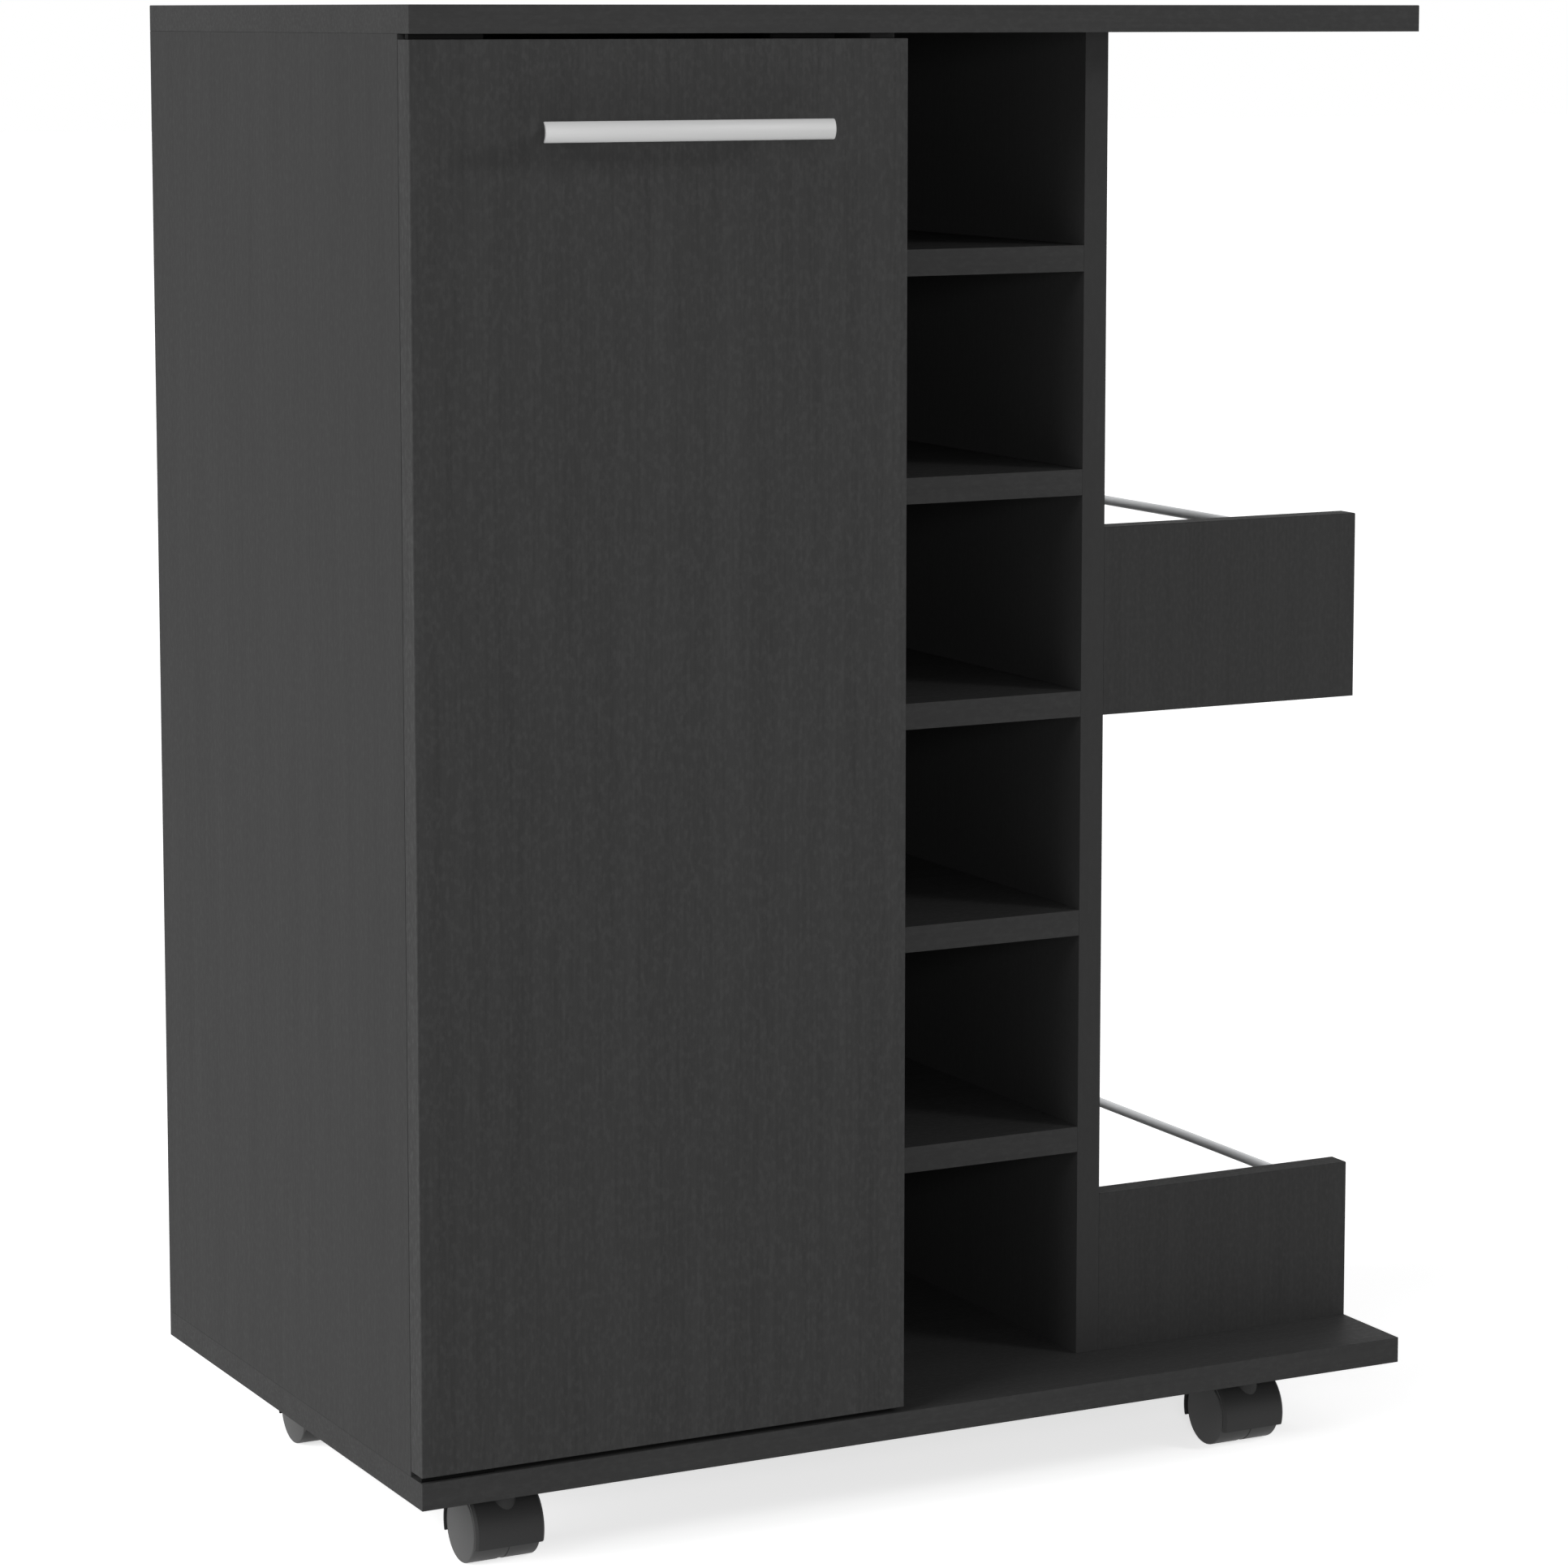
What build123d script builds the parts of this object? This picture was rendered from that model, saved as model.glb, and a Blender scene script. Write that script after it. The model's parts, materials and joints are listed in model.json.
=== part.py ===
"""Rolling kitchen island cart: a cupboard, a bottle rack and two side trays on four hooded twin-wheel casters.

Millimetres. +Z is up and the front faces -Y. The origin is on the floor, under the middle of the whole cart.
"""

import math
import os

from build123d import *

# Carcass boards
board = 15.0
back_thickness = 3.0
width = 626.0
depth = 389.5
cubby_pitch = 128.0
cubby_count = 6
cabinet_clear_width = 262.5
bottle_clear_width = 146.0
rack_setback = 57.5
edge_ease = 0.4
back_panel_margin = 1.5

# Cabinet shelves
cabinet_shelf_count = 2
cabinet_shelf_setback = 25.0
shelf_side_gap = 0.75
pin_diameter = 5.0
pin_in_board = 8.0
pin_under_shelf = 8.0
pin_inset = 40.0

# Bottle shelves, housed in stopped grooves
groove_depth = 5.0
groove_stop = 12.0
groove_fit = 0.1

# Side trays
cubby_count_below_tray = 3
fence_height = 94.0
rail_diameter = 6.0
rail_inset = 16.0
rail_drop = 15.0
rail_seat = 8.0

# Flat-pack fasteners
drill_fit = 0.1
cam_diameter = 15.0
cam_depth = 12.0
cam_setting = 24.0
cam_row_inset = 70.0
bolt_diameter = 6.0
bolt_thread_length = 10.0
dowel_diameter = 6.0
dowel_in_face = 6.0
dowel_in_edge = 16.0
dowel_inset = 35.0

# What repeats is drawn with few sides: small bars and the holes that take them, hoods and wheels
hidden_sides = 6
pin_sides = 8
head_sides = 10
caster_sides = 32

# Door and its pivot hinges
door_gap = 3.0
door_clearance = 0.6
pivot_side_inset = 3.0
pivot_front_inset = 5.0
pivot_pin_diameter = 3.0
pivot_pin_in_door = 5.0
pivot_fit = 0.05
leaf_width = 4.4
leaf_length = 40.0
leaf_gap = 0.2
leaf_fit = 0.1
door_leaf_thickness = 1.6

# Magnetic catch
catch_length = 40.0
catch_depth = 12.0
catch_height = 13.0
catch_from_partition = 20.0
catch_plate_length = 30.0
catch_plate_height = 9.0
catch_plate_thickness = 0.9
catch_gap = 0.3

# Door handle
handle_length = 169.0
handle_height = 11.0
handle_projection = 34.0
handle_drop = 47.5
handle_bow = 2.2
handle_wall = 1.8
handle_spacing = 128.0
handle_post_diameter = 7.0
handle_screw_diameter = 4.0
handle_screw_in_post = 12.0
handle_screw_head_diameter = 8.0
handle_screw_head_height = 2.4

# Casters
caster_height = 49.5
caster_left_inset = 64.0
caster_right_inset = 82.0
caster_front_inset = 39.0
caster_back_inset = 101.0
caster_width = 41.0
wheel_diameter = 38.4
wheel_chamfer = 1.2
wheel_gap = 0.4
wheel_end_cap = 3.5
wheel_end_recess = 0.4
hood_radius = 23.7
hood_wall = 2.4
hood_skirt = 6.8
hood_chamfer = 1.4
web_thickness = 3.0
web_ground_gap = 1.0
swivel_trail = 12.7
boss_diameter = 14.0
stem_diameter = 8.0
stem_in_boss = 9.5
stem_in_base = 12.0
swivel_gap = 0.3
axle_diameter = 5.0
running_fit = 0.05
seat_fit = 0.02

# Planes that the boards share
overall_depth = handle_projection + depth + back_thickness
inner_height = cubby_pitch * cubby_count
left = -width / 2
right = width / 2
front = handle_projection - overall_depth / 2
back = front + depth
base_bottom = caster_height
base_top = base_bottom + board
top_bottom = base_top + inner_height
top_top = top_bottom + board
cabinet_front = front + board + door_clearance
rack_front = front + rack_setback
partition_left = left + board + cabinet_clear_width
partition_right = partition_left + board
rack_left = partition_right + bottle_clear_width
rack_right = rack_left + board
side_shelf_bottom = base_top + cubby_count_below_tray * cubby_pitch - board / 2
side_shelf_top = side_shelf_bottom + board

FROM_START = (Align.CENTER, Align.CENTER, Align.MIN)
UP = (0, 0, 1)
DOWN = (0, 0, -1)
RIGHT = (1, 0, 0)
LEFT = (-1, 0, 0)
BACKWARD = (0, 1, 0)
FORWARD = (0, -1, 0)


def block(x, y, z):
    """A box between a low and a high value on each axis."""
    middle = Pos((x[0] + x[1]) / 2, (y[0] + y[1]) / 2, (z[0] + z[1]) / 2)
    return middle * Box(x[1] - x[0], y[1] - y[0], z[1] - z[0])


def rod(start, direction, diameter, length):
    """A round bar from a point along a direction."""
    return Plane(origin=start, z_dir=direction) * Cylinder(diameter / 2, length, align=FROM_START)


def pin(start, direction, diameter, length, sides):
    """A bar with few sides whose corners lie on the diameter."""
    return extrude(Plane(origin=start, z_dir=direction) * RegularPolygon(diameter / 2, sides), length)


def around(diameter):
    """The diameter of a hole with few sides that just takes a round bar."""
    return diameter / math.cos(math.pi / pin_sides)


def from_point(point, direction, distance):
    """The point that lies a distance away along a direction."""
    return tuple(p + d * distance for p, d in zip(point, direction))


def eased(face):
    """Takes the sharp edges off around one face of a board."""
    return chamfer(face.edges(), edge_ease)


def outermost(shape, axis, side):
    """The flat face of a board that lies furthest along an axis: side 1 is the high end and -1 the low end."""
    return shape.faces().sort_by(axis)[-1 if side > 0 else 0]


# Drillings go through every board that they meet, so holes line up across a joint
drillings = []
cam_locks = []
cam_bolts = []
wood_dowels = []
shelf_pins = []


def add_cam_joint(board_x, cam_side, y, joint_z, outward):
    """A cam lock in an upright's face, and the bolt that it pulls down out of the top or the base."""
    middle = board_x + board / 2
    inward = from_point((0, 0, 0), outward, -1)
    joint = (middle, y, joint_z)
    cam_centre = from_point(joint, inward, cam_setting)
    face_x = board_x + board if cam_side == RIGHT else board_x
    mouth = (face_x, y, cam_centre[2])
    into_board = from_point((0, 0, 0), cam_side, -1)
    bolt_start = from_point(cam_centre, inward, bolt_diameter / 2)
    bolt_length = bolt_diameter / 2 + cam_setting + bolt_thread_length
    hole_start = from_point(bolt_start, inward, drill_fit)
    bolt_hole = pin(hole_start, outward, bolt_diameter + 2 * drill_fit, bolt_length + 2 * drill_fit, hidden_sides)
    drillings.append(pin(mouth, into_board, cam_diameter + 4 * drill_fit, cam_depth + drill_fit, head_sides))
    drillings.append(bolt_hole)
    cam_locks.append(pin(mouth, into_board, cam_diameter, cam_depth, head_sides) - bolt_hole)
    cam_bolts.append(pin(bolt_start, outward, bolt_diameter, bolt_length, hidden_sides))


def add_dowel(point, direction):
    """A dowel across a joint: the direction points into the board edge, and away from the board face."""
    start = from_point(point, direction, -dowel_in_face)
    length = dowel_in_face + dowel_in_edge
    hole_start = from_point(start, direction, -drill_fit)
    hole_diameter = dowel_diameter + 2 * drill_fit
    wood_dowels.append(pin(start, direction, dowel_diameter, length, hidden_sides))
    drillings.append(pin(hole_start, direction, hole_diameter, length + 2 * drill_fit, hidden_sides))


def add_shelf_pin(point, into_board):
    """A shelf pin, half in an upright and half under a shelf."""
    start = from_point(point, into_board, -pin_under_shelf)
    shelf_pins.append(pin(start, into_board, pin_diameter, pin_under_shelf + pin_in_board, pin_sides))
    drillings.append(pin(point, into_board, pin_diameter + 2 * drill_fit, pin_in_board + drill_fit, pin_sides))


def drilled(shape):
    """Cuts the drillings that reach into a board."""
    box = shape.bounding_box()
    near = [hole for hole in drillings if box.overlaps(hole.bounding_box())]
    return shape - near if near else shape


# Uprights: where each one starts, its front edge, and the side that its cams are turned from
uprights = {
    "left_side_panel": (left, cabinet_front, RIGHT),
    "centre_partition": (partition_left, cabinet_front, LEFT),
    "rack_side_panel": (rack_left, rack_front, RIGHT),
}
for start_x, front_y, cam_side in uprights.values():
    for row_y in (front_y + cam_row_inset, back - cam_row_inset):
        add_cam_joint(start_x, cam_side, row_y, top_bottom, UP)
        add_cam_joint(start_x, cam_side, row_y, base_top, DOWN)

# Cabinet shelves on pins, spread evenly over the height
cabinet_pitch = inner_height / (cabinet_shelf_count + 1)
cabinet_shelf_levels = [base_top + cabinet_pitch * (i + 1) for i in range(cabinet_shelf_count)]
cabinet_shelf_y = (cabinet_front + cabinet_shelf_setback, back)
for level in cabinet_shelf_levels:
    pin_z = level - board / 2 - pin_diameter / 2
    for pin_y in (cabinet_shelf_y[0] + pin_inset, cabinet_shelf_y[1] - pin_inset):
        add_shelf_pin((left + board, pin_y, pin_z), LEFT)
        add_shelf_pin((partition_left, pin_y, pin_z), RIGHT)

# Tray fences: front and back spans, and the two levels
front_fence_y = (rack_front, rack_front + board)
back_fence_y = (back - board, back)
fence_middles = (sum(front_fence_y) / 2, sum(back_fence_y) / 2)
tray_x = (rack_right, right)
upper_fence_z = (side_shelf_bottom, side_shelf_top + fence_height)
lower_fence_z = (base_top, base_top + fence_height)
side_shelf_middle = (side_shelf_bottom + side_shelf_top) / 2
for fence_y in fence_middles:
    for fence_z in (upper_fence_z, lower_fence_z):
        add_dowel((rack_right, fence_y, fence_z[1] - dowel_inset), RIGHT)
    for dowel_x in (tray_x[0] + dowel_inset, tray_x[1] - dowel_inset):
        add_dowel((dowel_x, fence_y, base_top), UP)
for dowel_x in (tray_x[0] + dowel_inset, tray_x[1] - dowel_inset):
    add_dowel((dowel_x, front_fence_y[1], side_shelf_middle), BACKWARD)
    add_dowel((dowel_x, back_fence_y[0], side_shelf_middle), FORWARD)

# Chrome rails between the fences
rail_x = right - rail_inset
rail_length = back_fence_y[0] - front_fence_y[1] + 2 * rail_seat
rails = {}
for name, fence_z in (("upper_rail", upper_fence_z), ("lower_rail", lower_fence_z)):
    rail_start = (rail_x, front_fence_y[1] - rail_seat, fence_z[1] - rail_drop)
    hole_start = from_point(rail_start, BACKWARD, -drill_fit)
    hole_diameter = around(rail_diameter + 2 * drill_fit)
    rails[name] = rod(rail_start, BACKWARD, rail_diameter, rail_length)
    drillings.append(pin(hole_start, BACKWARD, hole_diameter, rail_length + 2 * drill_fit, pin_sides))

# Caster stems are pressed into the base from below
swivel_places = {
    "front_left": (left + caster_left_inset, front + caster_front_inset),
    "front_right": (right - caster_right_inset, front + caster_front_inset),
    "back_left": (left + caster_left_inset, back - caster_back_inset),
    "back_right": (right - caster_right_inset, back - caster_back_inset),
}
boss_top = base_bottom - swivel_gap
stem_bottom = boss_top - stem_in_boss
stem_length = base_bottom + stem_in_base - stem_bottom
caster_stems = []
stem_hole = around(stem_diameter + 2 * seat_fit)
for x, y in swivel_places.values():
    drillings.append(pin((x, y, base_bottom), UP, stem_hole, stem_in_base + drill_fit, pin_sides))
    caster_stems.append(rod((x, y, stem_bottom), UP, stem_diameter, stem_length))

# Boards
boards = {}
full_x = (left, right)
full_y = (front, back)
top_panel = block(full_x, full_y, (top_bottom, top_top))
boards["top_panel"] = eased(outermost(top_panel, Axis.Z, 1))
boards["base_panel"] = block(full_x, full_y, (base_bottom, base_top))
for name, (start_x, front_y, cam_side) in uprights.items():
    boards[name] = block((start_x, start_x + board), (front_y, back), (base_top, top_bottom))

# Bottle shelves with tongues in the grooves of the partition and the rack side
groove_y = (rack_front + groove_stop, back)
for number in range(1, cubby_count):
    middle_z = base_top + number * cubby_pitch
    shelf_z = (middle_z - board / 2, middle_z + board / 2)
    groove_z = (shelf_z[0] - groove_fit, shelf_z[1] + groove_fit)
    tongue_x = (partition_right - groove_depth + groove_fit, rack_left + groove_depth - groove_fit)
    tongue_y = (groove_y[0] + groove_fit, groove_y[1])
    shelf = block((partition_right, rack_left), (rack_front, back), shelf_z)
    shelf_number = cubby_count - number
    boards[f"bottle_shelf_{shelf_number}"] = shelf + block(tongue_x, tongue_y, shelf_z)
    boards["centre_partition"] -= block((partition_right - groove_depth, partition_right), groove_y, groove_z)
    boards["rack_side_panel"] -= block((rack_left, rack_left + groove_depth), groove_y, groove_z)

shelf_x = (left + board + shelf_side_gap, partition_left - shelf_side_gap)
for name, level in zip(("cabinet_shelf_lower", "cabinet_shelf_upper"), cabinet_shelf_levels):
    boards[name] = block(shelf_x, cabinet_shelf_y, (level - board / 2, level + board / 2))

boards["side_shelf"] = block(tray_x, (front_fence_y[1], back_fence_y[0]), (side_shelf_bottom, side_shelf_top))
for place, fence_y in (("front", front_fence_y), ("back", back_fence_y)):
    for level, fence_z in (("upper", upper_fence_z), ("lower", lower_fence_z)):
        fence = block(tray_x, fence_y, fence_z)
        boards[f"{level}_{place}_fence"] = eased(outermost(fence, Axis.Z, 1))

# Door, hinged so close to its end that its heel swings clear of the side panel
door_width = board + cabinet_clear_width + board
door_x = (left, left + door_width)
door_back = front + board
door_z = (base_top + door_gap, top_bottom - door_gap)
door = block(door_x, (front, door_back), door_z)
door = eased(outermost(door, Axis.Y, -1))

# Pivot hinges in the gaps above and below the door: a leaf on the carcass with its pin, and a leaf let into the door
pivot_x = left + pivot_side_inset
pivot_y = front + pivot_front_inset
door_recesses = []
hinge_cabinet_leaves = []
hinge_door_leaves = []


def leaf_plate(z, direction, thickness, margin):
    """A flat hinge leaf beside the pivot, or with a margin the recess that takes it."""
    reach = leaf_width / 2 + margin
    far_z = z + direction[2] * thickness
    return block(
        (pivot_x - reach, pivot_x + leaf_length + margin),
        (pivot_y - reach, pivot_y + reach),
        (min(z, far_z), max(z, far_z)),
    )


cabinet_leaf_thickness = door_gap - leaf_gap
pivot_clearance = around(pivot_pin_diameter + 4 * drill_fit)
for carcass_z, door_edge_z, to_door in ((top_bottom, door_z[1], DOWN), (base_top, door_z[0], UP)):
    carcass_point = (pivot_x, pivot_y, carcass_z)
    door_point = (pivot_x, pivot_y, door_edge_z)
    pin_depth = door_leaf_thickness + pivot_pin_in_door
    cabinet_leaf = leaf_plate(carcass_z, to_door, cabinet_leaf_thickness, 0)
    cabinet_leaf += rod(carcass_point, to_door, pivot_pin_diameter, door_gap + pin_depth)
    door_leaf = leaf_plate(door_edge_z, to_door, door_leaf_thickness, 0)
    door_leaf -= rod(door_point, to_door, pivot_pin_diameter + 2 * pivot_fit, door_leaf_thickness)
    door_recesses.append(leaf_plate(door_edge_z, to_door, door_leaf_thickness, leaf_fit))
    door_recesses.append(pin(door_point, to_door, pivot_clearance, pin_depth + drill_fit, pin_sides))
    hinge_cabinet_leaves.append(cabinet_leaf)
    hinge_door_leaves.append(door_leaf)

# Handle: an arched strip on two posts that are screwed through the door
handle_middle_x = sum(door_x) / 2
handle_z = door_z[1] - handle_drop
bar_front = front - handle_projection
half_height = handle_height / 2
bow_front = ThreePointArc(
    (bar_front + handle_bow, -half_height), (bar_front, 0), (bar_front + handle_bow, half_height)
)
bow_back = Pos(handle_wall, 0) * bow_front
strip_ends = [Line(bow_front @ end, bow_back @ end) for end in (0, 1)]
bar_plane = Plane(origin=(handle_middle_x - handle_length / 2, 0, handle_z), x_dir=BACKWARD, z_dir=RIGHT)
handle_bar = extrude(bar_plane * make_face([bow_front, bow_back, *strip_ends]), handle_length)
handle_posts = []
handle_screws = []
for post_x in (handle_middle_x - handle_spacing / 2, handle_middle_x + handle_spacing / 2):
    seat = (post_x, front, handle_z)
    screw_start = (post_x, door_back, handle_z)
    screw_hole = handle_screw_diameter + 2 * drill_fit
    screw_length = board + handle_screw_in_post
    bored = pin(screw_start, FORWARD, screw_hole, screw_length + drill_fit, pin_sides)
    post = rod(seat, FORWARD, handle_post_diameter, handle_projection - handle_wall)
    handle_posts.append(post - handle_bar - bored)
    door_recesses.append(bored)
    screw_head = pin(screw_start, BACKWARD, handle_screw_head_diameter, handle_screw_head_height, head_sides)
    handle_screws.append(screw_head + pin(screw_start, FORWARD, handle_screw_diameter, screw_length, pin_sides))
door -= door_recesses

# Magnetic catch under the top, and its plate on the door
catch_front = door_back + catch_plate_thickness + catch_gap
catch_right = partition_left - catch_from_partition
catch_middle = catch_right - catch_length / 2
catch_bottom = top_bottom - catch_height
magnetic_catch = block(
    (catch_right - catch_length, catch_right), (catch_front, catch_front + catch_depth), (catch_bottom, top_bottom)
)
magnetic_catch = chamfer(magnetic_catch.edges().filter_by(Axis.Z), edge_ease * 4)
catch_plate = block(
    (catch_middle - catch_plate_length / 2, catch_middle + catch_plate_length / 2),
    (door_back, door_back + catch_plate_thickness),
    (catch_bottom, catch_bottom + catch_plate_height),
)

# Hardboard back
back_panel = block(
    (left + back_panel_margin, rack_right - back_panel_margin),
    (back, back + back_thickness),
    (base_bottom + back_panel_margin, top_top - back_panel_margin),
)


def caster_pieces():
    """One caster with its axle on the origin: the hooded housing, the axle and the two wheels."""
    half_width = caster_width / 2
    boss_height = boss_top - wheel_diameter / 2
    bore_bottom = boss_height - stem_in_boss - swivel_gap
    hood_start = (-half_width, 0, 0)
    hood = pin(hood_start, RIGHT, 2 * hood_radius, caster_width, caster_sides)
    hood_ends = outermost(hood, Axis.X, -1).edges() + outermost(hood, Axis.X, 1).edges()
    hood = chamfer(hood_ends, hood_chamfer)
    boss = rod((0, -swivel_trail, 0), UP, boss_diameter, boss_height)
    wheel_wells = pin(hood_start, RIGHT, 2 * (hood_radius - hood_wall), caster_width, caster_sides)
    wheel_wells -= Box(web_thickness, 2 * hood_radius, 2 * hood_radius)
    below_skirt = Pos(0, 0, -hood_skirt) * Box(
        caster_width, 2 * hood_radius, hood_radius, align=(Align.CENTER, Align.CENTER, Align.MAX)
    )
    web_start = (-web_thickness / 2, 0, 0)
    web_foot = pin(web_start, RIGHT, wheel_diameter - 2 * web_ground_gap, web_thickness, caster_sides)
    housing = hood + boss - wheel_wells - below_skirt + web_foot
    housing -= rod(web_start, RIGHT, axle_diameter + 2 * seat_fit, web_thickness)
    housing -= rod((0, -swivel_trail, bore_bottom), UP, stem_diameter + 2 * running_fit, stem_in_boss + swivel_gap)

    inner_face = web_thickness / 2 + wheel_gap
    outer_face = half_width - wheel_end_recess
    bore_end = outer_face - wheel_end_cap
    axle_end = bore_end - running_fit
    right_wheel = pin((inner_face, 0, 0), RIGHT, wheel_diameter, outer_face - inner_face, caster_sides)
    right_wheel = chamfer(outermost(right_wheel, Axis.X, 1).edges(), wheel_chamfer)
    right_wheel -= rod((inner_face, 0, 0), RIGHT, axle_diameter + 2 * running_fit, bore_end - inner_face)
    left_wheel = mirror(right_wheel, Plane.YZ)
    axle = rod((-axle_end, 0, 0), RIGHT, axle_diameter, 2 * axle_end)
    return {"housing": housing, "axle": axle, "left_wheel": left_wheel, "right_wheel": right_wheel}


def grouped(solids):
    """Several separate solids in one node."""
    return Compound(children=list(solids))


nodes = {name: drilled(shape) for name, shape in boards.items()}
nodes.update(rails)
nodes["back_panel"] = back_panel
nodes["cam_locks"] = grouped(cam_locks)
nodes["cam_bolts"] = grouped(cam_bolts)
nodes["wood_dowels"] = grouped(wood_dowels)
nodes["shelf_pins"] = grouped(shelf_pins)
nodes["hinge_cabinet_leaves"] = grouped(hinge_cabinet_leaves)
nodes["magnetic_catch"] = magnetic_catch
nodes["caster_stems"] = grouped(caster_stems)
nodes["door_panel"] = door
nodes["handle_bar"] = handle_bar
nodes["handle_posts"] = grouped(handle_posts)
nodes["handle_screws"] = grouped(handle_screws)
nodes["hinge_door_leaves"] = grouped(hinge_door_leaves)
nodes["catch_plate"] = catch_plate
for place, (x, y) in swivel_places.items():
    for piece, shape in caster_pieces().items():
        nodes[f"caster_{place}_{piece}"] = Pos(x, y + swivel_trail, wheel_diameter / 2) * shape

os.makedirs("parts", exist_ok=True)
for name, shape in nodes.items():
    export_step(shape, f"parts/{name}.step")
print(len(nodes), "nodes")
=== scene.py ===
"""Looks of a rolling kitchen island cart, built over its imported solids.

Metres. +Z is up and the front faces -Y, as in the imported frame.
"""

import json
import math

import bmesh
import bpy
from mathutils import Matrix, Vector


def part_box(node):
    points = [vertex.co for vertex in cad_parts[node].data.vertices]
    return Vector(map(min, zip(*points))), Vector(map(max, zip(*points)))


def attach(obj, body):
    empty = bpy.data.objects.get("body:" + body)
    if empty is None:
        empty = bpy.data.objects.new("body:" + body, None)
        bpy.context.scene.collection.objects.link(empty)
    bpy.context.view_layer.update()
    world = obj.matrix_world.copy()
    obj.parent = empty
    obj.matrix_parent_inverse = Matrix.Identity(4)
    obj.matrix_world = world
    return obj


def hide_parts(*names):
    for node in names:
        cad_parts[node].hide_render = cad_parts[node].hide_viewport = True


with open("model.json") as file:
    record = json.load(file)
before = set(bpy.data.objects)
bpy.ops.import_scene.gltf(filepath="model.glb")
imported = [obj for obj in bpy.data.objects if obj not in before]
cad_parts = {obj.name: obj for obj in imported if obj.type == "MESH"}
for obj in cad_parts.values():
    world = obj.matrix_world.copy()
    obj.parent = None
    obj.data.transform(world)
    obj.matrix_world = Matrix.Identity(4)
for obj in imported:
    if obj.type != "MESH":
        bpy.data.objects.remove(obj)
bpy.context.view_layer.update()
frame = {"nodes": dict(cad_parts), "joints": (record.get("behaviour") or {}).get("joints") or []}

bl_info = {
    "name": "Kitchen Island Cart",
    "version": (1, 0, 0),
    "blender": (4, 5, 0),
    "location": "View3D > Sidebar > Cart",
    "description": "Dresses the packed solids of a rolling kitchen island cart",
    "category": "Object",
}

LEFT = Vector((-1, 0, 0))
RIGHT = Vector((1, 0, 0))
FORWARD = Vector((0, -1, 0))
BACKWARD = Vector((0, 1, 0))
UP = Vector((0, 0, 1))
DOWN = Vector((0, 0, -1))
MM = 0.001
# Sides of round pieces, from the wheels down to the shanks of screws
ROUND = 96
ROD_ROUND = 64
CAM_ROUND = 48
SMALL_ROUND = 32
PIN_ROUND = 24
SHANK_ROUND = 16
# Points closer than this count as one point, or as lying in one plane
CLOSE = 0.001 * MM
# Faces that turn less than the first angle are one face; edges that turn more than the second are rounded
FLAT_ANGLE = math.radians(0.5)
SHARP_ANGLE = math.radians(60)

CASTERS = ("front_left", "front_right", "back_left", "back_right")
UPRIGHTS = ("left_side_panel", "centre_partition", "rack_side_panel")
FENCES = ("upper_front_fence", "upper_back_fence", "lower_front_fence", "lower_back_fence")
FLAT_BOARDS = ("top_panel", "base_panel", "side_shelf", "cabinet_shelf_lower", "cabinet_shelf_upper")
BOTTLE_SHELVES = tuple(f"bottle_shelf_{number}" for number in range(1, 6))


def linear(code):
    """An sRGB hex colour as linear red, green, blue and alpha."""
    channels = [int(code[start : start + 2], 16) / 255 for start in (1, 3, 5)]
    return tuple(c / 12.92 if c <= 0.04045 else ((c + 0.055) / 1.055) ** 2.4 for c in channels) + (1.0,)


# Settings that a user would change


class CartFinish(bpy.types.PropertyGroup):
    """Colours of the cart's finishes."""

    foil: bpy.props.FloatVectorProperty(
        name="Foil",
        description="Ridges of the boards' black foil",
        subtype="COLOR",
        size=4,
        default=linear("#3D3D3D"),
    )
    foil_pore: bpy.props.FloatVectorProperty(
        name="Foil pores",
        description="Darker pores along the foil's grain",
        subtype="COLOR",
        size=4,
        default=linear("#323232"),
    )
    handle: bpy.props.FloatVectorProperty(
        name="Handle",
        description="Satin aluminium of the handle",
        subtype="COLOR",
        size=4,
        default=linear("#B3B3B3"),
    )
    # The hoods' grey is darker than the wheels' nylon as painted shade from the base above them
    caster: bpy.props.FloatVectorProperty(
        name="Caster",
        description="Nylon of the casters' hoods",
        subtype="COLOR",
        size=4,
        default=linear("#393939"),
    )


class CartDetail(bpy.types.PropertyGroup):
    """Sizes of what the solids leave out."""

    edge_round: bpy.props.FloatProperty(
        name="Board edge", description="Rounding of the boards' edges", unit="LENGTH", default=0.2 * MM
    )
    hood_chamfer: bpy.props.FloatProperty(
        name="Hood edge", description="Chamfer of a caster hood's ends", unit="LENGTH", default=1.4 * MM
    )
    wheel_round: bpy.props.FloatProperty(
        name="Wheel edge", description="Rounding of a wheel's outer edge", unit="LENGTH", default=1.0 * MM
    )
    handle_corner: bpy.props.FloatProperty(
        name="Handle corner",
        description="Corner radius of the handle's strip",
        unit="LENGTH",
        default=0.6 * MM,
    )
    nail_rows: bpy.props.IntProperty(
        name="Nail rows", description="Nails in each upright behind the back", default=7, min=2
    )


# Materials

# Layers of the printed oak: width across the grain, length along it and share in the tone
OAK_LAYERS = (
    ("flecks", 2.2 * MM, 4 * MM, 0.5),
    ("streaks", 1.8 * MM, 70 * MM, 0.65),
    ("bands", 14 * MM, 400 * MM, 0.5),
)
# Only the tops of the flecks' layer show, as separate light flecks
FLECK_TOPS = (0.45, 0.75)
# Sum of the layers in the deepest pores and on the highest ridges, and the roughness there
OAK_SUM = (0.24, 1.14)
OAK_ROUGHNESS = (0.62, 0.5)
OAK_RELIEF = 0.08 * MM
OAK_EMBOSSING = 0.3
# Most of a noise lies between these values
NOISE_SPREAD = (0.3, 0.7)
SPECKLE_EMBOSSING = 0.3


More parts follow.
